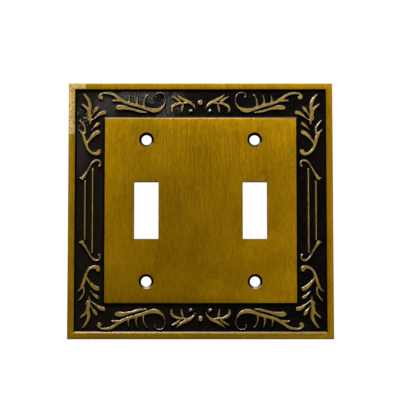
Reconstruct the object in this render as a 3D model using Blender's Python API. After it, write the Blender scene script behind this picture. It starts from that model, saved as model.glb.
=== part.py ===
"""Two-gang wall plate cover for toggle switches: relieved brass with scrollwork in a black border.

Metres, +Z up. The plate stands as it hangs on a wall: its front faces -Y, its back rim lies in
the plane y = 0, and the origin is the centre of that back plane.
"""

import math

import bmesh
import bpy

MM = 0.001

# Driving dimensions, in millimetres.
PLATE_WIDTH = 112.4
PLATE_HEIGHT = 108.8
PLATE_DEPTH = 6.0
RELIEF = 1.1
GROUND_THICKNESS = 1.1
WALL_THICKNESS = 2.0
RIM_SIDE = 2.6
RIM_TOP = 2.2
WALL_DRAFT = 1.0
PANEL_WIDTH = 81.0
PANEL_HEIGHT = 78.2
PANEL_DRAFT = 1.0
EDGE_ROUND = 0.4
GANG_PITCH = 46.04
SCREW_PITCH = 60.33
TOGGLE_WIDTH = 10.3
TOGGLE_HEIGHT = 24.2
SCREW_HOLE = 4.3
COUNTERSINK = 6.0
FIT_GAP = 0.3
OVERSHOOT = 5.0

GROUND_LEVEL = PLATE_DEPTH - RELIEF
BACK_LEVEL = GROUND_LEVEL - GROUND_THICKNESS

# The cross-section of a cast stroke of half width 1: (across, up), with its foot below the ground.
RIDGE = ((-1.0, -0.2), (-0.6, 1.65), (0.0, 1.95), (0.6, 1.65), (1.0, -0.2))

# Cast strokes are this much wider than the half widths listed for them.
STROKE_SWELL = 1.42

# Strokes of one quadrant, as (across, up, half width) from the plate's centre, in millimetres.
CORNER_SPRAY = (
    ((47.1, 36.4, 0.25), (46.9, 38.5, 0.5), (47.5, 41.8, 0.75), (47.1, 44.8, 0.65),
     (48.1, 47.6, 0.55), (49.6, 49.5, 0.4), (50.0, 49.8, 0.2)),
    ((47.6, 42.4, 0.6), (48.8, 43.9, 0.5), (50.1, 45.0, 0.45), (50.8, 45.7, 0.25)),
    ((46.9, 39.6, 0.3), (45.7, 41.5, 0.35), (44.4, 43.3, 0.65), (43.4, 44.5, 0.35)),
    ((46.9, 38.2, 0.4), (44.9, 39.5, 0.3), (42.6, 41.3, 0.65), (40.7, 41.9, 0.7), (40.1, 42.0, 0.4)),
    ((47.2, 38.2, 0.3), (47.9, 39.0, 0.4), (48.3, 40.3, 0.25)),
)
SIDE_SPRAY = (
    ((52.0, 34.6, 0.25), (50.6, 33.2, 0.45), (49.6, 31.2, 0.6), (48.7, 28.3, 0.6), (47.7, 25.8, 0.5),
     (45.8, 24.3, 0.55), (44.0, 24.2, 0.7), (43.3, 25.1, 0.85), (43.6, 26.0, 0.6)),
    ((51.7, 38.6, 0.25), (50.4, 37.1, 0.4), (49.2, 35.0, 0.4), (49.4, 32.4, 0.5)),
    ((48.5, 28.2, 0.45), (47.2, 30.1, 0.45), (45.2, 32.4, 0.7), (43.4, 33.4, 0.75), (42.6, 33.7, 0.4)),
)
SMALL_LEAF = (
    ((46.6, 33.9, 0.22), (45.4, 35.4, 0.35), (43.9, 36.7, 0.6), (42.8, 37.5, 0.35)),
)
S_HOOK = (
    ((43.4, 18.6, 0.45), (42.6, 19.4, 0.4), (43.0, 21.0, 0.35), (44.6, 21.2, 0.45), (46.2, 19.9, 0.35),
     (48.2, 16.5, 0.4), (49.6, 14.3, 0.6), (50.4, 13.4, 0.6), (50.8, 13.2, 0.35)),
    ((50.3, 13.5, 0.4), (51.5, 13.9, 0.25)),
)
LONG_SCROLL = (
    ((41.9, 47.5, 0.35), (42.3, 48.1, 0.75), (42.9, 48.8, 0.65), (41.9, 50.0, 0.4), (39.4, 50.1, 0.5),
     (36.9, 49.4, 0.55), (34.6, 47.7, 0.6), (31.3, 46.0, 0.6), (26.0, 44.5, 0.6), (22.3, 43.2, 0.65),
     (19.6, 42.7, 0.8), (17.2, 43.4, 0.6), (15.5, 45.1, 0.4), (14.9, 47.7, 0.28), (16.0, 50.0, 0.28),
     (18.2, 50.3, 0.28), (19.3, 49.2, 0.28), (18.7, 48.1, 0.32)),
    ((37.7, 46.8, 0.35), (36.3, 47.0, 0.45), (33.4, 46.8, 0.45)),
    ((30.3, 45.9, 0.5), (30.4, 47.4, 0.4), (30.1, 49.5, 0.3)),
    ((27.0, 45.1, 0.6), (27.15, 47.0, 0.4), (26.5, 49.7, 0.3)),
    ((24.1, 44.2, 0.5), (24.1, 46.4, 0.35), (23.3, 48.8, 0.33), (22.2, 49.6, 0.3)),
)
UNDER_LEAF = (
    ((36.1, 43.5, 0.45), (35.2, 43.9, 0.85), (33.0, 44.0, 0.8), (29.6, 43.3, 0.5), (26.0, 42.3, 0.5),
     (22.6, 41.8, 0.3)),
)
LEAF_GROUP = (
    ((10.4, 49.8, 0.25), (8.6, 48.2, 0.5), (6.3, 46.9, 0.6), (4.4, 46.0, 0.55), (2.9, 44.7, 0.4),
     (2.2, 43.2, 0.25)),
    ((12.3, 48.8, 0.25), (10.4, 47.8, 0.45), (8.3, 46.2, 0.4)),
    ((5.2, 46.1, 0.3), (7.2, 45.8, 0.4), (9.7, 45.6, 0.5), (11.7, 44.5, 0.55), (12.3, 43.0, 0.5),
     (11.9, 41.7, 0.25)),
    ((7.3, 45.6, 0.3), (7.8, 43.7, 0.5), (8.1, 41.6, 0.25)),
)
MOTIFS = {
    "corner_spray": CORNER_SPRAY,
    "side_spray": SIDE_SPRAY,
    "small_leaf": SMALL_LEAF,
    "s_hook": S_HOOK,
    "long_scroll": LONG_SCROLL,
    "under_leaf": UNDER_LEAF,
    "leaf_group": LEAF_GROUP,
}

# Straight rods in the side borders: (name, distance from the centre line, half length, half width).
RODS = (("inner_rod", 45.8, 17.2, 0.4), ("outer_rod", 49.0, 12.2, 0.4))

# Domed knobs: (across, up), width, height, rise. The beads are sanded flat on top, the buds lie lower.
BEAD = ((0.0, 46.0), 2.8, 3.1, 1.3)
BUD = ((4.1, 42.5), 2.2, 2.3, 0.85)


def clear_scene():
    for item in list(bpy.data.objects):
        bpy.data.objects.remove(item, do_unlink=True)


def new_collection(name):
    collection = bpy.data.collections.new(name)
    bpy.context.scene.collection.children.link(collection)
    return collection


def metal(name, colour, roughness, metallic):
    """A plain Principled material for one sub-part."""
    material = bpy.data.materials.new(name)
    material.use_nodes = True
    shader = material.node_tree.nodes["Principled BSDF"]
    shader.inputs["Base Color"].default_value = (*colour, 1.0)
    shader.inputs["Roughness"].default_value = roughness
    shader.inputs["Metallic"].default_value = metallic
    material.diffuse_color = (*colour, 1.0)
    return material


def add_object(name, mesh, collection, material=None):
    item = bpy.data.objects.new(name, mesh)
    if material is not None:
        mesh.materials.clear()
        mesh.materials.append(material)
    collection.objects.link(item)
    return item


def as_cutter(item):
    item.hide_render = True
    item.display_type = "WIRE"
    return item


def block(name, width, height, back, front, collection, draft=0.0, rounding=0.0):
    """A box from depth `back` to depth `front`; its front is smaller by `draft` on each side."""
    box = bmesh.new()
    bmesh.ops.create_cube(box, size=1.0)
    for corner in box.verts:
        is_front = corner.co.y < 0
        inset = draft if is_front else 0.0
        corner.co.x = math.copysign(width / 2 - inset, corner.co.x) * MM
        corner.co.z = math.copysign(height / 2 - inset, corner.co.z) * MM
        corner.co.y = -(front if is_front else back) * MM
    if rounding:
        front_edges = [edge for edge in box.edges if all(v.co.y < -0.999 * front * MM for v in edge.verts)]
        bmesh.ops.bevel(box, geom=front_edges, offset=rounding * MM, segments=2, profile=0.5,
                        affect="EDGES")
    mesh = bpy.data.meshes.new(name)
    box.to_mesh(mesh)
    box.free()
    return add_object(name, mesh, collection)


def turned(name, back_diameter, front_diameter, back, front, centre, collection):
    """A cylinder or cone along Y between two depths, centred at (x, z)."""
    solid = bmesh.new()
    bmesh.ops.create_cone(solid, cap_ends=True, segments=32, radius1=back_diameter / 2 * MM,
                          radius2=front_diameter / 2 * MM, depth=(front - back) * MM)
    mesh = bpy.data.meshes.new(name)
    solid.to_mesh(mesh)
    solid.free()
    item = add_object(name, mesh, collection)
    item.rotation_euler = (math.pi / 2, 0.0, 0.0)
    item.location = (centre[0] * MM, -(back + front) / 2 * MM, centre[1] * MM)
    return item


def boolean(item, cutter, operation="DIFFERENCE", crosses_itself=False):
    modifier = item.modifiers.new(cutter.name, "BOOLEAN")
    modifier.operation = operation
    modifier.solver = "EXACT"
    modifier.use_self = crosses_itself
    modifier.object = cutter


def baked_mesh(item, name):
    """The object's evaluated mesh, with loose caps welded."""
    bpy.context.view_layer.update()
    evaluated = item.evaluated_get(bpy.context.evaluated_depsgraph_get())
    mesh = bpy.data.meshes.new_from_object(evaluated)
    mesh.name = name
    welded = bmesh.new()
    welded.from_mesh(mesh)
    bmesh.ops.remove_doubles(welded, verts=welded.verts, dist=1e-6)
    bmesh.ops.recalc_face_normals(welded, faces=welded.faces)
    welded.to_mesh(mesh)
    welded.free()
    return mesh


def ridge_profile(guides):
    """The closed outline that every cast stroke is swept from."""
    curve = bpy.data.curves.new("ridge_profile", "CURVE")
    curve.dimensions = "2D"
    outline = curve.splines.new("POLY")
    outline.points.add(len(RIDGE) - 1)
    for point, (across, up) in zip(outline.points, RIDGE):
        point.co = (across * MM, up * MM, 0.0, 1.0)
    outline.use_cyclic_u = True
    return as_cutter(add_object("ridge_profile", curve, guides))


def stroke(name, points, profile, guides):
    """A tapering cast ridge along a smooth path, lying in the local XY plane."""
    curve = bpy.data.curves.new(name, "CURVE")
    curve.dimensions = "2D"
    curve.resolution_u = 2
    curve.render_resolution_u = 0
    curve.bevel_mode = "OBJECT"
    curve.bevel_object = profile
    curve.use_fill_caps = True
    path = curve.splines.new("BEZIER")
    path.bezier_points.add(len(points) - 1)
    for knot, (across, up, half_width) in zip(path.bezier_points, points):
        knot.co = (across * MM, up * MM, 0.0)
        knot.radius = STROKE_SWELL * half_width
        knot.handle_left_type = "AUTO"
        knot.handle_right_type = "AUTO"
    swept = add_object(name, curve, guides)
    mesh = baked_mesh(swept, name)
    bpy.data.objects.remove(swept, do_unlink=True)
    return as_cutter(add_object(name, mesh, guides))


def relief_slab(guides):
    """The layer between the ground's fit gap and the plane that the plate is sanded to."""
    slab = bmesh.new()
    bmesh.ops.create_cube(slab, size=1.0)
    bmesh.ops.scale(slab, vec=(PLATE_WIDTH * MM, PLATE_HEIGHT * MM, (RELIEF - FIT_GAP) * MM),
                    verts=slab.verts)
    bmesh.ops.translate(slab, vec=(0.0, 0.0, (RELIEF + FIT_GAP) / 2 * MM), verts=slab.verts)
    mesh = bpy.data.meshes.new("relief_slab")
    slab.to_mesh(mesh)
    slab.free()
    return as_cutter(add_object("relief_slab", mesh, guides))


def trimmed_motif(name, strokes, profile, slab, guides):
    """One ornament: its strokes united, then cut flat at the ground and at the sanded plane."""
    pieces = [stroke(f"{name}_stroke_{i}", points, profile, guides) for i, points in enumerate(strokes)]
    for other in pieces[1:]:
        boolean(pieces[0], other, "UNION", crosses_itself=True)
    boolean(pieces[0], slab, "INTERSECT", crosses_itself=True)
    return baked_mesh(pieces[0], name)


def domed_knob(name, place, width, height, rise, slab, guides):
    """A dome on the ground, cut flat at the fit gap and, if it rises so far, at the sanded plane."""
    dome = bmesh.new()
    bmesh.ops.create_uvsphere(dome, u_segments=16, v_segments=12, radius=0.5)
    bmesh.ops.scale(dome, vec=(width * MM, height * MM, 2 * rise * MM), verts=dome.verts)
    bmesh.ops.translate(dome, vec=(place[0] * MM, place[1] * MM, 0.0), verts=dome.verts)
    mesh = bpy.data.meshes.new(f"{name}_dome")
    dome.to_mesh(mesh)
    dome.free()
    whole = as_cutter(add_object(f"{name}_dome", mesh, guides))
    boolean(whole, slab, "INTERSECT")
    return baked_mesh(whole, name)


def stand_on_ground(item, side, end):
    """Turn a flat-lying ornament upright on the ground; side and end are +1 or -1."""
    item.rotation_euler = (math.pi / 2, 0.0, 0.0)
    item.scale = (side, end, 1.0)
    item.location = (0.0, -GROUND_LEVEL * MM, 0.0)


def gang_centres():
    return [(side * GANG_PITCH / 2, 0.0) for side in (-1, 1)]


def screw_centres():
    return [(side * GANG_PITCH / 2, end * SCREW_PITCH / 2) for end in (1, -1) for side in (-1, 1)]


def opening_cutters(guides):
    """Cutters for the toggle openings and the screw bores, through the whole plate."""
    cutters = []
    for number, (x, _) in enumerate(gang_centres()):
        cutter = block(f"toggle_cutter_{number}", TOGGLE_WIDTH, TOGGLE_HEIGHT, -OVERSHOOT,
                       PLATE_DEPTH + OVERSHOOT, guides)
        cutter.location.x = x * MM
        cutters.append(as_cutter(cutter))
    for number, centre in enumerate(screw_centres()):
        bore = turned(f"screw_cutter_{number}", SCREW_HOLE, SCREW_HOLE, -OVERSHOOT,
                      PLATE_DEPTH + OVERSHOOT, centre, guides)
        cutters.append(as_cutter(bore))
    return cutters


def countersink_cutters(guides):
    """45-degree cones that open each screw hole at the panel's face."""
    depth = (COUNTERSINK - SCREW_HOLE) / 2
    over = OVERSHOOT / 10
    return [as_cutter(turned(f"countersink_cutter_{number}", SCREW_HOLE, COUNTERSINK + 2 * over,
                             PLATE_DEPTH - depth, PLATE_DEPTH + over, centre, guides))
            for number, centre in enumerate(screw_centres())]


def make_outer_frame(part, guides, material):
    frame = block("outer_frame", PLATE_WIDTH, PLATE_HEIGHT, 0.0, PLATE_DEPTH, part,
                  rounding=EDGE_ROUND)
    frame.data.materials.append(material)
    lip_level = GROUND_LEVEL + FIT_GAP
    rebate = block("frame_rebate_cutter", PLATE_WIDTH - 2 * WALL_THICKNESS,
                   PLATE_HEIGHT - 2 * WALL_THICKNESS, -OVERSHOOT, lip_level, guides)
    slope = WALL_DRAFT / RELIEF
    reach = OVERSHOOT / 10
    window = block("frame_window_cutter",
                   PLATE_WIDTH - 2 * RIM_SIDE - 2 * slope * (RELIEF + reach),
                   PLATE_HEIGHT - 2 * RIM_TOP - 2 * slope * (RELIEF + reach),
                   GROUND_LEVEL - reach, PLATE_DEPTH + reach, guides,
                   draft=-slope * (RELIEF + 2 * reach))
    boolean(frame, as_cutter(rebate))
    boolean(frame, as_cutter(window))
    return frame


def make_ground_plate(part, material, openings):
    clearance = 2 * WALL_THICKNESS + 2 * FIT_GAP
    ground = block("ground_plate", PLATE_WIDTH - clearance, PLATE_HEIGHT - clearance, BACK_LEVEL,
                   GROUND_LEVEL, part)
    ground.data.materials.append(material)
    for cutter in openings:
        boolean(ground, cutter)
    return ground


def make_centre_panel(part, guides, material, openings):
    slope = PANEL_DRAFT / RELIEF
    thickness = RELIEF - FIT_GAP
    panel = block("centre_panel", PANEL_WIDTH + 2 * slope * thickness,
                  PANEL_HEIGHT + 2 * slope * thickness, GROUND_LEVEL + FIT_GAP, PLATE_DEPTH, part,
                  draft=slope * thickness)
    panel.data.materials.append(material)
    for cutter in openings + countersink_cutters(guides):
        boolean(panel, cutter)
    return panel


def make_ornaments(part, guides, material):
    """Every motif in all four quadrants, the rods on both sides, and a bead above and below."""
    profile = ridge_profile(guides)
    slab = relief_slab(guides)
    motifs = {motif: trimmed_motif(motif, strokes, profile, slab, guides)
              for motif, strokes in MOTIFS.items()}
    motifs["bud"] = domed_knob("bud", *BUD, slab, guides)
    for motif, mesh in motifs.items():
        for end, end_name in ((1, "top"), (-1, "bottom")):
            for side, side_name in ((-1, "left"), (1, "right")):
                ornament = add_object(f"{motif}_{end_name}_{side_name}", mesh, part, material)
                stand_on_ground(ornament, side, end)
    for name, across, half_length, half_width in RODS:
        path = ((across, -half_length, 0.2), (across, -half_length + 0.7, half_width),
                (across, half_length - 0.7, half_width), (across, half_length, 0.2))
        mesh = trimmed_motif(name, (path,), profile, slab, guides)
        for side, side_name in ((-1, "left"), (1, "right")):
            stand_on_ground(add_object(f"{name}_{side_name}", mesh, part, material), side, 1)
    bead = domed_knob("centre_bead", *BEAD, slab, guides)
    for end, end_name in ((1, "top"), (-1, "bottom")):
        stand_on_ground(add_object(f"centre_bead_{end_name}", bead, part, material), 1, end)


def main():
    clear_scene()
    part = new_collection("wall_plate_cover")
    guides = new_collection("cutters")
    brass = metal("satin_brass", (0.235, 0.107, 0.003), 0.38, 1.0)
    black = metal("black_ground", (0.006, 0.0055, 0.005), 0.5, 0.0)
    relief = metal("relieved_brass", (0.2, 0.1, 0.015), 0.42, 1.0)
    openings = opening_cutters(guides)
    make_outer_frame(part, guides, brass)
    make_ground_plate(part, black, openings)
    make_centre_panel(part, guides, brass, openings)
    make_ornaments(part, guides, relief)


main()
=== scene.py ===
"""The looks of a relieved-brass wall plate cover for two toggle switches.

The plate stands as it hangs on a wall: +Z up, front towards -Y, back rim in the plane y = 0.
Ornaments are drawn flat first, in millimetres, as (across, up, height above the ground), and are
then mirrored into their places and stood up on the ground plate.
"""

import math

import bmesh
import bpy
import numpy as np
from mathutils import Matrix, Vector


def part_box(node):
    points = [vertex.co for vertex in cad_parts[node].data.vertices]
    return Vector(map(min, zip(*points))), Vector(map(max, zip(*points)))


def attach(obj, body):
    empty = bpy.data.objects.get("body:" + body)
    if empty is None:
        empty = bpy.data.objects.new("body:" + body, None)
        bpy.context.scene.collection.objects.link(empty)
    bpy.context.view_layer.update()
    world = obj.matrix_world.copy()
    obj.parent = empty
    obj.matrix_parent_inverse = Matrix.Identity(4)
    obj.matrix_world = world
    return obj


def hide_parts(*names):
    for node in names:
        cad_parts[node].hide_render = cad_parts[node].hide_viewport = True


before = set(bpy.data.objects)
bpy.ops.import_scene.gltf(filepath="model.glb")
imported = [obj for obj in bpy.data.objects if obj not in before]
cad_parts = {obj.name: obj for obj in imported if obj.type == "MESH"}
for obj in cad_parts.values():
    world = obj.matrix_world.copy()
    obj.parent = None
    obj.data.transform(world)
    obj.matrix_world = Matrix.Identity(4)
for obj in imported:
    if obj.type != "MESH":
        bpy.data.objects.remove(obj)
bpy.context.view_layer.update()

MM = 0.001

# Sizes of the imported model.
frame_low, frame_high = (np.array(corner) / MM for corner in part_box("outer_frame"))
ground_low, ground_high = (np.array(corner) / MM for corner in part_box("ground_plate"))
HALF_WIDTH, HALF_HEIGHT = frame_high[0], frame_high[2]
DEPTH = -frame_low[1]
GROUND = -ground_low[1]
SHEET_BACK = -ground_high[1]
RELIEF = DEPTH - GROUND

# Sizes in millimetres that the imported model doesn't list. The rim is within 0.1 mm of the model's, and
# the countersinks are within 0.3 mm.
RIM_SIDE = 2.5
RIM_TOP = 2.3
PANEL_FLAT = (40.5, 39.1)
BACK_WALL = 2.0
FIT_GAP = 0.3
GANG_PITCH = 46.04
SCREW_PITCH = 60.33
TOGGLE = (10.3, 24.2)
SCREW_HOLE = 4.3
COUNTERSINK = 6.3
CHAMFER = 0.1
SUNK = 0.05
LAP = 0.01
EDGE_RADIUS = 0.35
ROUND_STEPS = 4
BORE_SEGMENTS = 96
SHARP_ANGLE = math.radians(20)

# How far cutters reach past what they cut, in millimetres.
PAST_SHEET = 5.0
PAST_GROUND = 3.0
PAST_FRONT = 1.0

# A cast edge from the sanded plane down to the ground: (run, drop), a soft slope and a steep foot.
BEVEL = ((0.0, 0.0), (0.12, 0.03), (0.3, 0.13), (0.6, 0.34), (0.85, 0.53), (0.93, 0.68),
         (0.98, RELIEF + SUNK))

# Ornament strokes, as (across, up, half width) from the plate's centre: those of the top right
# quadrant, and then the two rods on the right.
CORNER_SPRAY = (
    ((47.1, 36.4, 0.25), (46.9, 38.5, 0.5), (47.5, 41.8, 0.75), (47.1, 44.8, 0.65),
     (48.1, 47.6, 0.55), (49.6, 49.5, 0.4), (50.0, 49.8, 0.2)),
    ((47.6, 42.4, 0.6), (48.8, 43.9, 0.5), (50.1, 45.0, 0.45), (50.8, 45.7, 0.25)),
    ((46.9, 39.6, 0.3), (45.7, 41.5, 0.35), (44.4, 43.3, 0.65), (43.4, 44.5, 0.35)),
    ((46.9, 38.2, 0.4), (44.9, 39.5, 0.3), (42.6, 41.3, 0.65), (40.7, 41.9, 0.7), (40.1, 42.0, 0.4)),
    ((47.2, 38.2, 0.3), (47.9, 39.0, 0.4), (48.3, 40.3, 0.25)),
)
SIDE_SPRAY = (
    ((52.0, 34.6, 0.25), (50.6, 33.2, 0.45), (49.6, 31.2, 0.6), (48.7, 28.3, 0.6), (47.7, 25.8, 0.5),
     (45.8, 24.3, 0.55), (44.0, 24.2, 0.7), (43.3, 25.1, 0.85), (43.6, 26.0, 0.6)),
    ((51.7, 38.6, 0.25), (50.4, 37.1, 0.4), (49.2, 35.0, 0.4), (49.4, 32.4, 0.5)),
    ((48.5, 28.2, 0.45), (47.2, 30.1, 0.45), (45.2, 32.4, 0.7), (43.4, 33.4, 0.75), (42.6, 33.7, 0.4)),
)
SMALL_LEAF = (
    ((46.6, 33.9, 0.22), (45.4, 35.4, 0.35), (43.9, 36.7, 0.6), (42.8, 37.5, 0.35)),
)
S_HOOK = (
    ((43.4, 18.6, 0.45), (42.6, 19.4, 0.4), (43.0, 21.0, 0.35), (44.6, 21.2, 0.45), (46.2, 19.9, 0.35),
     (48.2, 16.5, 0.4), (49.6, 14.3, 0.6), (50.4, 13.4, 0.6), (50.8, 13.2, 0.35)),
    ((50.3, 13.5, 0.4), (51.5, 13.9, 0.25)),
)
LONG_SCROLL = (
    ((41.9, 47.5, 0.35), (42.3, 48.1, 0.75), (42.9, 48.8, 0.65), (41.9, 50.0, 0.4), (39.4, 50.1, 0.5),
     (36.9, 49.4, 0.55), (34.6, 47.7, 0.6), (31.3, 46.0, 0.6), (26.0, 44.5, 0.6), (22.3, 43.2, 0.65),
     (19.6, 42.7, 0.8), (17.2, 43.4, 0.6), (15.5, 45.1, 0.35), (14.9, 47.7, 0.22), (16.0, 50.0, 0.22),
     (18.2, 50.3, 0.22), (19.3, 49.2, 0.22), (18.7, 48.1, 0.26)),
    ((37.7, 46.8, 0.35), (36.3, 47.0, 0.45), (33.4, 46.8, 0.45)),
    ((30.3, 45.9, 0.5), (30.4, 47.4, 0.36), (30.1, 49.5, 0.24)),
    ((27.0, 45.1, 0.55), (27.15, 47.0, 0.38), (26.5, 49.7, 0.24)),
    ((24.1, 44.2, 0.5), (24.1, 46.4, 0.36), (23.3, 48.8, 0.28), (22.2, 49.6, 0.22)),
)
UNDER_LEAF = (
    ((36.1, 43.5, 0.45), (35.2, 43.9, 0.85), (33.0, 44.0, 0.8), (29.6, 43.3, 0.5), (26.0, 42.3, 0.5),
     (22.6, 41.8, 0.3)),
)
LEAF_GROUP = (
    ((10.4, 49.8, 0.25), (8.6, 48.2, 0.5), (6.3, 46.9, 0.6), (4.4, 46.0, 0.55), (2.9, 44.7, 0.4),
     (2.2, 43.2, 0.25)),
    ((12.3, 48.8, 0.25), (10.4, 47.8, 0.45), (8.3, 46.2, 0.4)),
    ((5.2, 46.1, 0.3), (7.2, 45.8, 0.4), (9.7, 45.6, 0.5), (11.7, 44.5, 0.55), (12.3, 43.0, 0.5),
     (11.9, 41.7, 0.25)),
    ((7.3, 45.6, 0.3), (7.8, 43.7, 0.5), (8.1, 41.6, 0.25)),
)
INNER_ROD = (
    ((45.8, -17.3, 0.45), (45.8, -16.6, 0.38), (45.8, 0.0, 0.4), (45.8, 16.6, 0.38), (45.8, 17.3, 0.45)),
)
OUTER_ROD = (
    ((49.0, -12.3, 0.45), (49.0, -11.6, 0.38), (49.0, 0.0, 0.4), (49.0, 11.6, 0.38), (49.0, 12.3, 0.45)),
)

# Domes: (across, up), width, height, rise. The beads are sanded flat on top, the buds lie lower.
BEAD = ((0.0, 46.0), 2.8, 3.1, 1.3)
BUD = ((4.1, 42.5), 2.2, 2.3, 0.85)

QUADRANT_MOTIFS = {"corner_spray": CORNER_SPRAY, "side_spray": SIDE_SPRAY, "small_leaf": SMALL_LEAF,
                   "s_hook": S_HOOK, "long_scroll": LONG_SCROLL, "under_leaf": UNDER_LEAF,
                   "leaf_group": LEAF_GROUP}
SIDES = {"left": -1, "right": 1}
ENDS = {"top": 1, "bottom": -1}

# How a stroke rises from its edge inwards: (distance in, height), a steep foot and a soft shoulder.
SHOULDER = ((0.0, 0.0), (0.07, 0.84), (0.17, 0.95), (0.28, 1.04), (0.36, 1.12), (1.0, 1.25))

# A cast stroke's half width at the ground, as a share of the half width in the lists above.
STROKE_SWELL = 1.42

# How far out a stroke's buried corners lie, and how wide its rounded ends stay, as shares of its half width.
FOOT_SIDE = 0.9
LEAST_END_SHARE = 0.12

# The shortest stretch, in millimetres, over which a stroke's end is rounded.
LEAST_END_REACH = 0.05

# Samples across a stroke and between two of its points, and the grain of the remesh in millimetres.
PROFILE_STEPS = 18
SPAN_STEPS = 14
VOXEL = 0.09


# ---------------------------------------------------------------- meshes

def new_object(name, mesh, material):
    mesh.materials.clear()
    mesh.materials.append(material)
    item = bpy.data.objects.new(name, mesh)
    bpy.context.scene.collection.objects.link(item)
    return item


def mesh_from(name, vertices, faces):
    mesh = bpy.data.meshes.new(name)
    mesh.from_pydata([tuple(v) for v in vertices], [], faces)
    mesh.validate()
    mesh.update()
    return mesh


def crisp(mesh):
    """Smooth round stretches, and keep every real edge."""
    mesh.shade_smooth()
    mesh.set_sharp_from_angle(angle=SHARP_ANGLE)


def rectangle_loft(sections, ring):
    """Quads through rectangles (half width, half height, depth) in millimetres.

    A ring joins its last section to its first; otherwise both ends are capped.
    """
    vertices = []
    for half_width, half_height, depth in sections:
        for sx, sz in ((-1, -1), (1, -1), (1, 1), (-1, 1)):
            vertices.append((sx * half_width * MM, -depth * MM, sz * half_height * MM))
    count = len(sections)
    faces = []
    for i in range(count if ring else count - 1):
        a, b = 4 * i, 4 * ((i + 1) % count)
        for k in range(4):
            n = (k + 1) % 4
            faces.append((a + k, a + n, b + n, b + k))
    if not ring:
        faces.append((3, 2, 1, 0))
        last = 4 * (count - 1)
        faces.append((last, last + 1, last + 2, last + 3))
    return vertices, faces


def outward(mesh):
    """Make every face point out of the solid."""
    solid = bmesh.new()
    solid.from_mesh(mesh)
    bmesh.ops.recalc_face_normals(solid, faces=solid.faces)
    solid.to_mesh(mesh)
    solid.free()
    return mesh


def rounded_edge():
    """Arc points (inset, depth) where the outer side wall turns into the front."""
    points = []
    for step in range(ROUND_STEPS + 1):
        angle = math.pi / 2 * step / ROUND_STEPS
        points.append((EDGE_RADIUS * (1 - math.cos(angle)), DEPTH - EDGE_RADIUS * (1 - math.sin(angle))))
    return points


def turned_cutter(profile, x, z):
    """A solid turned about Y through (x, z); profile is (radius, depth) from back to front."""
    vertices = []
    for radius, depth in profile:
        for k in range(BORE_SEGMENTS):
            angle = 2 * math.pi * k / BORE_SEGMENTS
            vertices.append(((x + radius * math.cos(angle)) * MM, -depth * MM,
                             (z + radius * math.sin(angle)) * MM))
    faces = []
    for i in range(len(profile) - 1):
        low, high = i * BORE_SEGMENTS, (i + 1) * BORE_SEGMENTS
        for k in range(BORE_SEGMENTS):
            n = (k + 1) % BORE_SEGMENTS
            faces.append((low + k, low + n, high + n, high + k))
    faces.append(tuple(range(BORE_SEGMENTS)))
    last = (len(profile) - 1) * BORE_SEGMENTS
    faces.append(tuple(range(last + BORE_SEGMENTS - 1, last - 1, -1)))
    return outward(mesh_from("bore", vertices, faces))


def cut(item, cutter_meshes):
    """Cut solids out of an object's mesh, one after another."""
    cutters = []
    for mesh in cutter_meshes:
        cutter = bpy.data.objects.new("cutter", mesh)
        bpy.context.scene.collection.objects.link(cutter)
        cutters.append(cutter)
        modifier = item.modifiers.new("cut", "BOOLEAN")
        modifier.operation = "DIFFERENCE"
        modifier.solver = "EXACT"
        modifier.object = cutter
    apply_modifiers(item)
    for cutter in cutters:
        bpy.data.meshes.remove(cutter.data)


def apply_modifiers(item):
    bpy.context.view_layer.update()
    evaluated = item.evaluated_get(bpy.context.evaluated_depsgraph_get())
    finished = bpy.data.meshes.new_from_object(evaluated)
    finished.name = item.name
    item.modifiers.clear()
    item.data = finished


# ---------------------------------------------------------------- ornaments

def smooth_path(points):
    """Catmull-Rom samples through (across, up, half width), with rounded ends."""
    knots = np.array(points, dtype=float)
    knots = np.vstack([2 * knots[0] - knots[1], knots, 2 * knots[-1] - knots[-2]])
    t = np.linspace(0, 1, SPAN_STEPS, endpoint=False)[:, None]
    spans = []
    for a, b, c, d in zip(knots, knots[1:], knots[2:], knots[3:]):
        spans.append(0.5 * (2 * b + (c - a) * t + (2 * a - 5 * b + 4 * c - d) * t ** 2
                            + (3 * b - a - 3 * c + d) * t ** 3))
    path = np.vstack(spans + [knots[-2][None]])
    run = np.concatenate([[0], np.cumsum(np.linalg.norm(np.diff(path[:, :2], axis=0), axis=1))])
    for distance in (run, run[-1] - run):
        reach = np.maximum(path[:, 2], LEAST_END_REACH)
        closeness = np.clip(1 - distance / reach, 0, 1)
        path[:, 2] *= np.maximum(np.sqrt(1 - closeness ** 2), LEAST_END_SHARE)
    return path


def stroke_solid(points):
    """Vertices and faces of one cast ridge, in millimetres, with its foot below the ground."""
    path = smooth_path(points)
    ahead = np.gradient(path[:, :2], axis=0)
    ahead /= np.linalg.norm(ahead, axis=1)[:, None]
    across = np.stack([-ahead[:, 1], ahead[:, 0]], axis=1)
    angle = np.linspace(0, math.pi, PROFILE_STEPS)
    side = np.concatenate([np.cos(angle), [-FOOT_SIDE, FOOT_SIDE]])
    half = STROKE_SWELL * path[:, 2:3]
    plan = path[:, None, :2] + across[:, None, :] * (half * side)[:, :, None]
    height = np.interp(half * (1 - np.abs(side)), *zip(*SHOULDER))
    height[:, -2:] = -FIT_GAP
    vertices = np.concatenate([plan, height[:, :, None]], axis=2)
    rings, size = height.shape
    faces = []
    for i in range(rings - 1):
        for k in range(size):
            n = (k + 1) % size
            faces.append((i * size + k, i * size + n, (i + 1) * size + n, (i + 1) * size + k))
    faces.append(tuple(range(size - 1, -1, -1)))
    faces.append(tuple(range((rings - 1) * size, rings * size)))
    return vertices.reshape(-1, 3), faces


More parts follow.
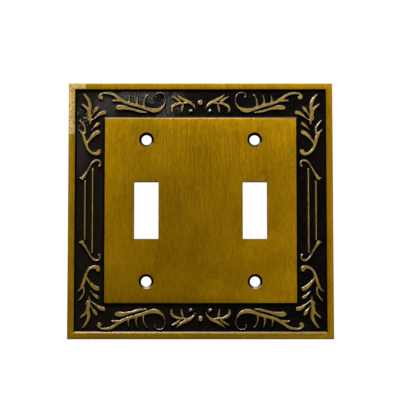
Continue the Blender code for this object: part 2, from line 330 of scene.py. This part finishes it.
def melt_together(name, strokes):
    """One cast surface over all the strokes, remeshed and softened."""
    vertices, faces = [], []
    for points in strokes:
        new_vertices, new_faces = stroke_solid(points)
        offset = len(vertices)
        vertices.extend(new_vertices)
        faces.extend(tuple(index + offset for index in face) for face in new_faces)
    item = bpy.data.objects.new(name, mesh_from(name, vertices, faces))
    bpy.context.scene.collection.objects.link(item)
    remesh = item.modifiers.new("melt", "REMESH")
    remesh.mode = "VOXEL"
    remesh.voxel_size = VOXEL
    soften = item.modifiers.new("soften", "SMOOTH")
    soften.factor = 0.5
    soften.iterations = 2
    apply_modifiers(item)
    solid = bmesh.new()
    solid.from_mesh(item.data)
    bpy.data.objects.remove(item)
    return sanded_mesh(name, solid)


def sanded_mesh(name, solid):
    """The mesh of a flat ornament, cut off at the sanded plane and just below the ground."""
    for level, normal in ((RELIEF, 1), (-SUNK, -1)):
        whole = solid.verts[:] + solid.edges[:] + solid.faces[:]
        cut_result = bmesh.ops.bisect_plane(solid, geom=whole, plane_co=(0, 0, level),
                                            plane_no=(0, 0, normal), clear_outer=True)
        rim = [edge for edge in cut_result["geom_cut"] if isinstance(edge, bmesh.types.BMEdge)]
        bmesh.ops.holes_fill(solid, edges=rim, sides=0)
        for edge in rim:
            edge.smooth = False
    for face in solid.faces:
        face.smooth = True
    mesh = bpy.data.meshes.new(name)
    solid.to_mesh(mesh)
    solid.free()
    return mesh


def dome_mesh(name, place, width, height, rise):
    """A domed knob on the ground."""
    dome = bmesh.new()
    bmesh.ops.create_uvsphere(dome, u_segments=48, v_segments=32, radius=0.5)
    bmesh.ops.scale(dome, vec=(width, height, 2 * rise), verts=dome.verts)
    bmesh.ops.translate(dome, vec=(*place, 0.0), verts=dome.verts)
    return sanded_mesh(name, dome)


def stand_up(flat, name, side, end, material):
    """A copy of a flat ornament, mirrored into its quadrant and stood on the ground plate."""
    mesh = flat.copy()
    mesh.transform(Matrix(((side * MM, 0, 0, 0), (0, 0, -MM, -GROUND * MM), (0, end * MM, 0, 0),
                           (0, 0, 0, 1))))
    if side * end < 0:
        mesh.flip_normals()
    item = new_object(f"{name}_casting", mesh, material)
    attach(item, "root")
    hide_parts(name)
    return item


def make_ornaments(material):
    flats = {motif: melt_together(motif, strokes) for motif, strokes in QUADRANT_MOTIFS.items()}
    flats["bud"] = dome_mesh("bud", *BUD)
    for motif, flat in flats.items():
        for end_name, end in ENDS.items():
            for side_name, side in SIDES.items():
                stand_up(flat, f"{motif}_{end_name}_{side_name}", side, end, material)
    for rod, strokes in (("inner_rod", INNER_ROD), ("outer_rod", OUTER_ROD)):
        flat = melt_together(rod, strokes)
        for side_name, side in SIDES.items():
            stand_up(flat, f"{rod}_{side_name}", side, 1, material)
    flat = dome_mesh("centre_bead", *BEAD)
    for end_name, end in ENDS.items():
        stand_up(flat, f"centre_bead_{end_name}", 1, end, material)


# ---------------------------------------------------------------- frame, ground and panel

def gang_positions():
    return [side * GANG_PITCH / 2 for side in (-1, 1)]


def screw_positions():
    return [(x, end * SCREW_PITCH / 2) for x in gang_positions() for end in (-1, 1)]


def make_frame(material):
    """The rim, its outer wall and the sloped wall down to the ground, as one mitred ring."""
    sections = [(0.0, 0.0, 0.0)]
    sections += [(inset, inset, depth) for inset, depth in rounded_edge()]
    sections += [(RIM_SIDE + run, RIM_TOP + run, DEPTH - drop) for run, drop in BEVEL]
    foot = BEVEL[-1][0]
    lip_back = (GROUND + SHEET_BACK) / 2
    sections.append((RIM_SIDE + foot, RIM_TOP + foot, lip_back))
    sections.append((BACK_WALL, BACK_WALL, lip_back))
    sections.append((BACK_WALL, BACK_WALL, 0.0))
    rings = [(HALF_WIDTH - inset_x, HALF_HEIGHT - inset_z, depth) for inset_x, inset_z, depth in sections]
    mesh = outward(mesh_from("outer_frame", *rectangle_loft(rings, ring=True)))
    crisp(mesh)
    item = new_object("rim_casting", mesh, material)
    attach(item, "root")
    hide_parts("outer_frame")


def bore_cutters(profile):
    return [turned_cutter(profile, x, z) for x, z in screw_positions()]


def toggle_cutters(sections):
    cutters = []
    for x in gang_positions():
        vertices, faces = rectangle_loft(sections, ring=False)
        vertices = [(vx + x * MM, vy, vz) for vx, vy, vz in vertices]
        cutters.append(outward(mesh_from("toggle", vertices, faces)))
    return cutters


def make_ground(material):
    """The black recessed sheet."""
    half_width = HALF_WIDTH - BACK_WALL + LAP
    half_height = HALF_HEIGHT - BACK_WALL + LAP
    sections = [(half_width, half_height, SHEET_BACK), (half_width, half_height, GROUND)]
    mesh = outward(mesh_from("ground", *rectangle_loft(sections, ring=False)))
    item = new_object("ground_sheet", mesh, material)
    behind, before = -PAST_SHEET, DEPTH + PAST_SHEET
    bore = [(SCREW_HOLE / 2, behind), (SCREW_HOLE / 2, before)]
    width, height = TOGGLE
    opening = [(width / 2, height / 2, behind), (width / 2, height / 2, before)]
    cut(item, bore_cutters(bore) + toggle_cutters(opening))
    crisp(item.data)
    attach(item, "root")
    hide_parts("ground_plate")


def make_panel(material):
    """The raised brass panel, with bevelled edges, chamfered openings and countersunk holes."""
    half_width, half_height = PANEL_FLAT
    sections = [(half_width + run, half_height + run, DEPTH - drop) for run, drop in reversed(BEVEL)]
    mesh = outward(mesh_from("panel", *rectangle_loft(sections, ring=False)))
    item = new_object("panel_casting", mesh, material)
    behind, before = GROUND - PAST_GROUND, DEPTH + PAST_FRONT
    sink = (COUNTERSINK - SCREW_HOLE) / 2
    bore = [(SCREW_HOLE / 2, behind), (SCREW_HOLE / 2, DEPTH - sink), (COUNTERSINK / 2, DEPTH),
            (COUNTERSINK / 2 + PAST_FRONT, before)]
    opening = []
    for spread, depth in ((0.0, behind), (0.0, DEPTH - CHAMFER), (CHAMFER, DEPTH),
                          (CHAMFER + PAST_FRONT, before)):
        opening.append((TOGGLE[0] / 2 + spread, TOGGLE[1] / 2 + spread, depth))
    cut(item, bore_cutters(bore) + toggle_cutters(opening))
    crisp(item.data)
    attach(item, "root")
    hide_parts("centre_panel")


# ---------------------------------------------------------------- materials

class Graph:
    """A small helper around a material's node tree."""

    def __init__(self, name):
        self.material = bpy.data.materials.new(name)
        self.material.use_nodes = True
        self.nodes = self.material.node_tree.nodes
        self.links = self.material.node_tree.links
        self.shader = self.nodes["Principled BSDF"]
        self.place = self.nodes.new("ShaderNodeTexCoord").outputs["Object"]

    def link(self, source, target):
        self.links.new(source, target)

    def math(self, operation, a, b=None):
        node = self.nodes.new("ShaderNodeMath")
        node.operation = operation
        for socket, value in zip(node.inputs, (a, b)):
            if value is None:
                continue
            if isinstance(value, (int, float)):
                socket.default_value = value
            else:
                self.link(value, socket)
        return node.outputs[0]

    def axis(self, name):
        node = self.nodes.new("ShaderNodeSeparateXYZ")
        self.link(self.place, node.inputs[0])
        return node.outputs[name]

    def facing(self, direction, low, high):
        """0 to 1 as the normal's part along a direction goes from low to high."""
        node = self.nodes.new("ShaderNodeVectorMath")
        node.operation = "DOT_PRODUCT"
        self.link(self.nodes.new("ShaderNodeNewGeometry").outputs["Normal"], node.inputs[0])
        node.inputs[1].default_value = direction
        return self.ramp(node.outputs["Value"], low, high)

    def stretched(self, scale):
        node = self.nodes.new("ShaderNodeMapping")
        self.link(self.place, node.inputs["Vector"])
        node.inputs["Scale"].default_value = scale
        return node.outputs["Vector"]

    def noise(self, scale, detail=3.0, roughness=0.5, stretch=None):
        node = self.nodes.new("ShaderNodeTexNoise")
        self.link(self.stretched(stretch) if stretch else self.place, node.inputs["Vector"])
        node.inputs["Scale"].default_value = scale
        node.inputs["Detail"].default_value = detail
        node.inputs["Roughness"].default_value = roughness
        return node.outputs["Fac"]

    def ramp(self, value, low, high, to_low=0.0, to_high=1.0):
        node = self.nodes.new("ShaderNodeMapRange")
        node.interpolation_type = "SMOOTHSTEP"
        self.link(value, node.inputs["Value"])
        for socket, number in zip(("From Min", "From Max", "To Min", "To Max"), (low, high, to_low, to_high)):
            node.inputs[socket].default_value = number
        return node.outputs["Result"]

    def mix_colour(self, factor, a, b):
        node = self.nodes.new("ShaderNodeMix")
        node.data_type = "RGBA"
        self.link(factor, node.inputs["Factor"])
        for socket, value in ((node.inputs[6], a), (node.inputs[7], b)):
            if isinstance(value, tuple):
                socket.default_value = (*value, 1.0)
            else:
                self.link(value, socket)
        return node.outputs[2]

    def scaled(self, colour, factor):
        node = self.nodes.new("ShaderNodeVectorMath")
        node.operation = "SCALE"
        self.link(colour, node.inputs[0])
        self.link(factor, node.inputs["Scale"])
        return node.outputs[0]

    def mix_value(self, factor, a, b):
        node = self.nodes.new("ShaderNodeMix")
        node.data_type = "FLOAT"
        self.link(factor, node.inputs["Factor"])
        for socket, value in ((node.inputs[2], a), (node.inputs[3], b)):
            if isinstance(value, (int, float)):
                socket.default_value = value
            else:
                self.link(value, socket)
        return node.outputs[0]

    def bump(self, height, strength, distance):
        node = self.nodes.new("ShaderNodeBump")
        node.inputs["Strength"].default_value = strength
        node.inputs["Distance"].default_value = distance
        self.link(height, node.inputs["Height"])
        return node.outputs["Normal"]


# Linear colours.
BRASS_DARK = (0.33, 0.172, 0.002)
BRASS = (0.53, 0.29, 0.003)
BRASS_DULL = (0.41, 0.235, 0.012)
BRASS_PALE = (0.52, 0.345, 0.05)
BRASS_HIGHLIGHT = (0.95, 0.72, 0.25)
GLINT_WHITE = (0.6, 0.58, 0.5)
BLACKENED = (0.0032, 0.0018, 0.0008)
BLACKENED_DEEP = (0.0012, 0.0007, 0.0003)
BLACK_SHEEN = (0.009, 0.0064, 0.0038)
BLACK_GRAIN = (0.03, 0.025, 0.018)
SHEEN_GREY = (0.042, 0.037, 0.036)
CHARCOAL_SHEEN = (0.16, 0.152, 0.135)
RAW_BACK = (0.17, 0.12, 0.06)
RAW_BACK_DARK = (0.07, 0.052, 0.03)
UPLIT_BRONZE = (0.145, 0.114, 0.074)
UPLIT_PEWTER = (0.33, 0.32, 0.3)
UPLIT_PEWTER_DARK = (0.08, 0.077, 0.07)
CREST_GREY = (0.22, 0.195, 0.12)
SHADE_BLACK = (0.012, 0.01, 0.007)
HIGHLIGHT_CREAM = (0.75, 0.7, 0.55)
OUTER_BRASS = (0.42, 0.27, 0.05)
OUTER_DARK = (0.26, 0.155, 0.022)

# How metallic the flanks are, and how much the ovals of painted shade darken the brass and the ovals of
# painted reflection lighten it.
FLANK_METAL = 0.8
SHADE_PATCH_STRENGTH = -0.25
REFLECTION_PATCH_STRENGTH = 0.5

# Directions that a surface can face.
FRONT = (0.0, -1.0, 0.0)
UP = (0.0, 0.0, 1.0)
UP_AND_LEFT = (-0.5, 0.0, 1.0)

# Soft ovals on the front, in millimetres: across, up, half width, half height, and then a share.
# Ovals of painted shade, and then ovals of painted reflection, on the panel's brass.
SHADE_PATCHES = (
    (-9.0, -15.0, 16.0, 36.0, 0.65),
    (-24.0, 6.0, 22.0, 12.0, 0.35),
    (-22.0, -29.0, 22.0, 8.0, 0.35),
    (6.0, 0.0, 20.0, 12.0, 0.35),
    (30.0, 2.0, 14.0, 12.0, 0.3),
    (4.0, -28.0, 26.0, 8.0, 0.3),
)
REFLECTION_PATCHES = (
    (22.0, 27.0, 20.0, 12.0, 0.5),
    (-8.0, 27.0, 30.0, 12.0, 0.15),
    (25.0, -15.0, 12.0, 8.0, 0.4),
    (6.0, -33.0, 9.0, 5.0, 0.25),
)
# Painted sheen on the black ground near the top left.
SHEEN_BORDER = ((-40.0, 45.5, 7.0, 7.0, 0.8), (-52.0, 26.0, 5.0, 13.0, 0.4))
# Painted glints on the left border's black, and at the rods' upper ends.
BORDER_GLINTS = ((-51.5, 39.0, 5.0, 6.0, 1.0), (-46.5, 42.0, 3.0, 4.0, 0.8), (-39.5, 27.0, 1.5, 8.0, 0.6))
ROD_GLINTS = ((-45.8, 17.3, 0.9, 0.9, 1.0), (-49.0, 12.4, 0.9, 0.9, 1.0))

# How far the painted highlight on the rim's top left corner runs along the rim, in millimetres from the
# plate's centre.
HIGHLIGHT_DOWN_TO = 32.7
HIGHLIGHT_ACROSS_TO = -49.0

# A height between the screw holes and the ornamented border, in millimetres from the centre.
SHORT_OF_BORDER = 36.0

# How far behind the ground's front the frame's flanks turn into its raw back, in millimetres.
JUST_BEHIND = 0.1


def sanded(graph, reach):
    """1 where the surface lies on the sanded plane, falling to 0 over `reach` millimetres below."""
    depth = graph.math("MULTIPLY", graph.axis("Y"), -1 / MM)
    ragged = graph.math("MULTIPLY", graph.math("SUBTRACT", graph.noise(900.0, 4.0, 0.6), 0.5), 0.6 * reach)
    level = graph.math("ADD", depth, ragged)
    return graph.ramp(level, DEPTH - reach, DEPTH - 0.35 * reach)


def rim_corner_highlight(graph):
    """Up to 0.85 on the rim's top left corner: a painted highlight, a hard-edged, grainy patch of pale brass.
    """
    left = graph.math("LESS_THAN", graph.axis("X"), (RIM_SIDE - HALF_WIDTH) * MM)
    low = graph.math("GREATER_THAN", graph.axis("Z"), HIGHLIGHT_DOWN_TO * MM)
    top = graph.math("GREATER_THAN", graph.axis("Z"), (HALF_HEIGHT - RIM_TOP) * MM)
    across = graph.math("LESS_THAN", graph.axis("X"), HIGHLIGHT_ACROSS_TO * MM)
    corner = graph.math("MAXIMUM", graph.math("MULTIPLY", left, low), graph.math("MULTIPLY", top, across))
    grain = graph.ramp(graph.noise(1400.0, 2.0, 0.7), 0.38, 0.62, 0.25, 0.85)
    return graph.math("MULTIPLY", corner, grain)


def outer_wall(graph):
    """1 on the plate's four outer side walls and their rounded front edge."""
    edge = EDGE_RADIUS + LAP
    far = graph.math("GREATER_THAN", graph.math("ABSOLUTE", graph.axis("X")), (HALF_WIDTH - edge) * MM)
    high = graph.math("GREATER_THAN", graph.math("ABSOLUTE", graph.axis("Z")), (HALF_HEIGHT - edge) * MM)
    return graph.math("MAXIMUM", far, high)


def patch(graph, across, up, half_width, half_height):
    """A soft oval on the front, 1 in its middle and 0 at its edge; sizes in millimetres."""
    x = graph.math("MULTIPLY", graph.math("SUBTRACT", graph.axis("X"), across * MM), 1 / (half_width * MM))
    z = graph.math("MULTIPLY", graph.math("SUBTRACT", graph.axis("Z"), up * MM), 1 / (half_height * MM))
    spread = graph.math("ADD", graph.math("MULTIPLY", x, x), graph.math("MULTIPLY", z, z))
    return graph.ramp(spread, 1.0, 0.0)


def patches(graph, ovals):
    """The strongest of several soft ovals, each scaled by its share."""
    strongest = None
    for across, up, half_width, half_height, share in ovals:
        oval = graph.math("MULTIPLY", patch(graph, across, up, half_width, half_height), share)
        strongest = oval if strongest is None else graph.math("MAXIMUM", strongest, oval)
    return strongest


def countersink_highlights(graph):
    """Painted highlight: 1 on the steep upward slopes in the panel's lower half, most of all in its screw
    holes.
    """
    lower = graph.ramp(graph.axis("Z"), 0.0, -20.0 * MM)
    on_panel = graph.math("GREATER_THAN", graph.axis("Z"), -SHORT_OF_BORDER * MM)
    return graph.math("MULTIPLY", graph.math("MULTIPLY", lower, on_panel), graph.facing(UP, 0.6, 0.72))


def brushed_brass(name):
    """Brushed along Z on the sanded plane, with painted shade, painted reflection and a painted highlight in
    its colour; on the slopes below it, painted light in bronze where they face up and painted-shade black
    where they face down.
    """
    graph = Graph(name)
    mottle = graph.noise(55.0, 4.0, 0.6)
    streaks = graph.noise(1.0, 4.0, 0.7, stretch=(2700.0, 400.0, 540.0))
    brush = graph.noise(1.0, 3.0, 0.6, stretch=(2400.0, 400.0, 100.0))
    tone = graph.math("ADD", graph.math("MULTIPLY", mottle, 0.35), graph.math("MULTIPLY", streaks, 0.65))
    brass = graph.mix_colour(graph.ramp(tone, 0.35, 0.65), BRASS_DARK, BRASS)
    # Painted shade and painted reflection: ovals that darken and lighten the brass.
    dull = graph.math("MULTIPLY", patches(graph, SHADE_PATCHES), SHADE_PATCH_STRENGTH)
    pale = graph.math("MULTIPLY", patches(graph, REFLECTION_PATCHES), REFLECTION_PATCH_STRENGTH)
    brass = graph.scaled(brass, graph.math("ADD", graph.math("ADD", dull, pale), 1.0))
    # A painted highlight on the rim's top left corner.
    brass = graph.mix_colour(rim_corner_highlight(graph), brass, BRASS_HIGHLIGHT)
    top = graph.math("MULTIPLY", sanded(graph, 0.12), graph.facing(FRONT, 0.9, 0.98))
    # Painted light and shade: upward slopes are bronze, downward slopes are black.
    flank = graph.mix_colour(graph.facing(UP, 0.1, 0.4), SHADE_BLACK, UPLIT_BRONZE)
    behind = graph.math("GREATER_THAN", graph.axis("Y"), (JUST_BEHIND - GROUND) * MM)
    flank = graph.mix_colour(behind, flank, RAW_BACK)
    # Painted highlights on the upward slopes of the lower countersinks.
    flank = graph.mix_colour(countersink_highlights(graph), flank, HIGHLIGHT_CREAM)
    patina = graph.mix_colour(graph.ramp(graph.noise(220.0, 4.0, 0.6), 0.35, 0.65), OUTER_DARK, OUTER_BRASS)
    flank = graph.mix_colour(outer_wall(graph), flank, patina)
    graph.link(graph.mix_colour(top, flank, brass), graph.shader.inputs["Base Color"])
    graph.link(graph.mix_value(top, FLANK_METAL, 1.0), graph.shader.inputs["Metallic"])
    graph.link(graph.mix_value(top, 0.3, graph.ramp(brush, 0.3, 0.7, 0.32, 0.44)),
               graph.shader.inputs["Roughness"])
    graph.link(graph.bump(brush, 0.12, 0.00005), graph.shader.inputs["Normal"])
    graph.shader.inputs["Specular IOR Level"].default_value = 0.2
    return graph.material


def relieved_brass(name):
    """Rubbed bright on the crests; on their flanks a painted highlight in pewter above and to the left, and
    painted-shade black below.
    """
    graph = Graph(name)
    top = graph.math("MULTIPLY", sanded(graph, 0.11), graph.facing(FRONT, 0.93, 0.985))
    mottle = graph.noise(400.0, 4.0, 0.6)
    brass = graph.mix_colour(graph.ramp(mottle, 0.35, 0.65), BRASS_DULL, BRASS_PALE)
    # The crests turn mottled grey towards the top of the top border.
    top_greying = graph.math("MULTIPLY", graph.ramp(graph.noise(320.0, 3.0, 0.6), 0.42, 0.56, 0.0, 0.45),
                         graph.ramp(graph.axis("Z"), SHORT_OF_BORDER * MM, 44.0 * MM))
    brass = graph.mix_colour(top_greying, brass, CREST_GREY)
    # Painted glints at the rods' upper ends.
    brass = graph.mix_colour(patches(graph, ROD_GLINTS), brass, GLINT_WHITE)
    # A painted highlight in broken pewter on flanks facing up and to the left, and painted-shade black on the
    # rest.
    flank = graph.mix_colour(graph.ramp(graph.noise(700.0, 3.0, 0.6), 0.38, 0.56), UPLIT_PEWTER_DARK, UPLIT_PEWTER)
    flank = graph.mix_colour(graph.facing(UP_AND_LEFT, -0.35, 0.15), SHADE_BLACK, flank)
    graph.link(graph.mix_colour(top, flank, brass), graph.shader.inputs["Base Color"])
    graph.link(graph.mix_value(top, FLANK_METAL, 1.0), graph.shader.inputs["Metallic"])
    graph.link(graph.mix_value(top, 0.2, 0.42), graph.shader.inputs["Roughness"])
    graph.link(graph.bump(graph.noise(2500.0, 3.0, 0.6), 0.25, 0.00006), graph.shader.inputs["Normal"])
    graph.shader.inputs["Specular IOR Level"].default_value = 0.5
    return graph.material


def sheen_corner(graph):
    """Up to 1 in the top border's left half, where charcoal flecks of painted sheen lie on the black."""
    from_middle = graph.ramp(graph.axis("X"), -5.0 * MM, -12.0 * MM)
    from_corner = graph.ramp(graph.axis("X"), -44.0 * MM, -36.0 * MM, 0.05, 1.0)
    upwards = graph.ramp(graph.axis("Z"), SHORT_OF_BORDER * MM, 43.0 * MM)
    return graph.math("MULTIPLY", graph.math("MULTIPLY", from_middle, from_corner), upwards)


def blackened(name):
    """Near black in front, with painted sheen lighter towards the left and in charcoal flecks at the top; raw
    behind.
    """
    graph = Graph(name)
    cloud = graph.noise(90.0, 5.0, 0.6)
    black = graph.mix_colour(graph.ramp(cloud, 0.3, 0.7), BLACKENED_DEEP, BLACKENED)
    # Painted sheen: the black grows lighter towards the left, and in soft ovals near the top left.
    black = graph.mix_colour(graph.ramp(graph.axis("X"), 30.0 * MM, -45.0 * MM), black, BLACK_SHEEN)
    black = graph.mix_colour(patches(graph, SHEEN_BORDER), black, SHEEN_GREY)
    specks = graph.ramp(graph.noise(1500.0, 3.0, 0.7), 0.55, 0.75)
    black = graph.mix_colour(specks, black, BLACK_GRAIN)
    # Painted sheen in charcoal flecks over the top border's left half.
    speckle = graph.ramp(graph.noise(1900.0, 4.0, 0.8), 0.42, 0.66)
    sheen_flecks = graph.math("MULTIPLY", graph.ramp(graph.noise(130.0, 3.0, 0.6), 0.42, 0.6), speckle)
    front = graph.mix_colour(graph.math("MULTIPLY", sheen_flecks, sheen_corner(graph)), black, CHARCOAL_SHEEN)
    # Painted glints: pale flecks in ovals on the left border.
    glint_grain = graph.ramp(graph.noise(1500.0, 3.0, 0.7), 0.58, 0.68)
    glint_flecks = graph.math("MULTIPLY", glint_grain, patches(graph, BORDER_GLINTS))
    front = graph.mix_colour(glint_flecks, front, GLINT_WHITE)
    behind = graph.math("GREATER_THAN", graph.axis("Y"), -(SHEET_BACK + SUNK) * MM)
    raw = graph.mix_colour(graph.ramp(graph.noise(160.0, 5.0, 0.7), 0.35, 0.65), RAW_BACK_DARK, RAW_BACK)
    graph.link(graph.mix_colour(behind, front, raw), graph.shader.inputs["Base Color"])
    graph.link(graph.ramp(cloud, 0.3, 0.7, 0.3, 0.45), graph.shader.inputs["Roughness"])
    grain = graph.bump(graph.noise(1700.0, 3.0, 0.7), 0.35, 0.0001)
    graph.link(grain, graph.shader.inputs["Normal"])
    graph.shader.inputs["Specular IOR Level"].default_value = 0.05
    return graph.material


# ---------------------------------------------------------------- stage

# How bright the room and the floor are by themselves, and the floor's half side and height in metres.
ROOM_LIGHT = 0.05
FLOOR_GLOW = 0.7
FLOOR_HALF = 3.0
FLOOR_LEVEL = -0.25


def pale_floor_material():
    """Matt and pale, with a glow of its own that keeps it even from every side."""
    material = bpy.data.materials.new("pale_floor")
    material.use_nodes = True
    shader = material.node_tree.nodes["Principled BSDF"]
    shader.inputs["Base Color"].default_value = (0.8, 0.8, 0.8, 1.0)
    shader.inputs["Roughness"].default_value = 0.9
    shader.inputs["Emission Color"].default_value = (1.0, 1.0, 1.0, 1.0)
    shader.inputs["Emission Strength"].default_value = FLOOR_GLOW
    return material


def make_floor():
    corners = [(x * FLOOR_HALF, y * FLOOR_HALF, FLOOR_LEVEL) for x, y in ((-1, -1), (1, -1), (1, 1), (-1, 1))]
    mesh = mesh_from("floor", corners, [(0, 1, 2, 3)])
    item = new_object("floor", mesh, pale_floor_material())
    item.visible_glossy = False
    item.visible_diffuse = False


def aim(item, target):
    item.rotation_euler = (Vector(target) - item.location).to_track_quat("-Z", "Y").to_euler()


def area_light(name, place, target, width, height, power, colour):
    lamp = bpy.data.lights.new(name, "AREA")
    lamp.shape = "RECTANGLE"
    lamp.size = width
    lamp.size_y = height
    lamp.energy = power
    lamp.color = colour
    item = bpy.data.objects.new(name, lamp)
    bpy.context.scene.collection.objects.link(item)
    item.location = place
    item.visible_camera = False
    aim(item, target)


def make_world():
    """White where the camera sees it; a dim room wherever the plate reflects it."""
    world = bpy.data.worlds.new("studio")
    bpy.context.scene.world = world
    world.use_nodes = True
    nodes, links = world.node_tree.nodes, world.node_tree.links
    nodes.clear()
    output = nodes.new("ShaderNodeOutputWorld")
    blend = nodes.new("ShaderNodeMixShader")
    room = nodes.new("ShaderNodeBackground")
    white = nodes.new("ShaderNodeBackground")
    path = nodes.new("ShaderNodeLightPath")
    room.inputs["Strength"].default_value = ROOM_LIGHT
    links.new(path.outputs["Is Camera Ray"], blend.inputs[0])
    links.new(room.outputs[0], blend.inputs[1])
    links.new(white.outputs[0], blend.inputs[2])
    white.inputs["Color"].default_value = (1.0, 1.0, 1.0, 1.0)
    links.new(blend.outputs[0], output.inputs["Surface"])


# Softboxes, in metres: name, centre, point it faces, width, height, brightness, colour.
SOFTBOXES = (
    ("overhead", (-0.12, -0.3, 0.9), (0.0, 0.0, 0.0), 1.5, 0.75, 1.25, (1.0, 1.0, 1.0)),
    ("near_top", (-0.08, -0.12, 0.22), (0.0, 0.0, 0.05), 0.5, 0.06, 11.0, (1.0, 1.0, 1.0)),
    ("near_front", (0.0, -0.3, 0.2), (0.0, 0.0, 0.06), 0.35, 0.06, 0.5, (1.0, 1.0, 1.0)),
    ("front_fill", (0.0, -1.5, 0.15), (0.0, 0.0, 0.0), 1.8, 0.6, 0.2, (1.0, 0.9, 0.9)),
    ("front_low", (0.0, -1.4, -0.12), (0.0, 0.0, 0.0), 1.8, 0.2, 0.35, (1.0, 0.9, 0.9)),
    ("left_side", (-0.5, -1.2, 0.3), (0.0, 0.0, 0.0), 0.4, 0.9, 0.8, (1.0, 1.0, 1.0)),
    ("right_side", (0.5, -1.2, 0.3), (0.0, 0.0, 0.0), 0.4, 0.9, 0.4, (1.0, 1.0, 1.0)),
    ("right_low", (0.5, -1.3, -0.1), (0.0, 0.0, 0.0), 0.5, 0.22, 2.0, (1.0, 1.0, 1.0)),
    ("rear", (0.3, 1.3, 0.6), (0.0, 0.0, 0.0), 1.6, 1.2, 1.5, (1.0, 1.0, 1.0)),
)


def make_lights():
    for name, place, target, width, height, brightness, colour in SOFTBOXES:
        power = brightness * math.pi * width * height
        area_light(name, place, target, width, height, power, colour)


# The camera looks slightly up at the plate, from this far off in metres; its aim is in millimetres.
CAMERA_DISTANCE = 0.6886
CAMERA_DROP = math.radians(5.56)
CAMERA_LENS = 144.9
AIM_ACROSS = -0.25
AIM_HEIGHT = 4.96


def make_camera():
    data = bpy.data.cameras.new("camera")
    data.lens = CAMERA_LENS
    data.sensor_width = 36.0
    data.clip_start = 0.01
    item = bpy.data.objects.new("camera", data)
    bpy.context.scene.collection.objects.link(item)
    target = Vector((AIM_ACROSS * MM, 0.0, AIM_HEIGHT * MM))
    item.location = target + CAMERA_DISTANCE * Vector((0.0, -math.cos(CAMERA_DROP),
                                                       -math.sin(CAMERA_DROP)))
    aim(item, target)
    bpy.context.scene.camera = item


def main():
    bpy.context.scene.view_settings.view_transform = "Standard"
    brushed = brushed_brass("brushed_brass")
    make_frame(brushed)
    make_panel(brushed)
    make_ground(blackened("blackened_ground"))
    make_ornaments(relieved_brass("relieved_brass_crests"))
    make_floor()
    make_world()
    make_lights()
    make_camera()


main()
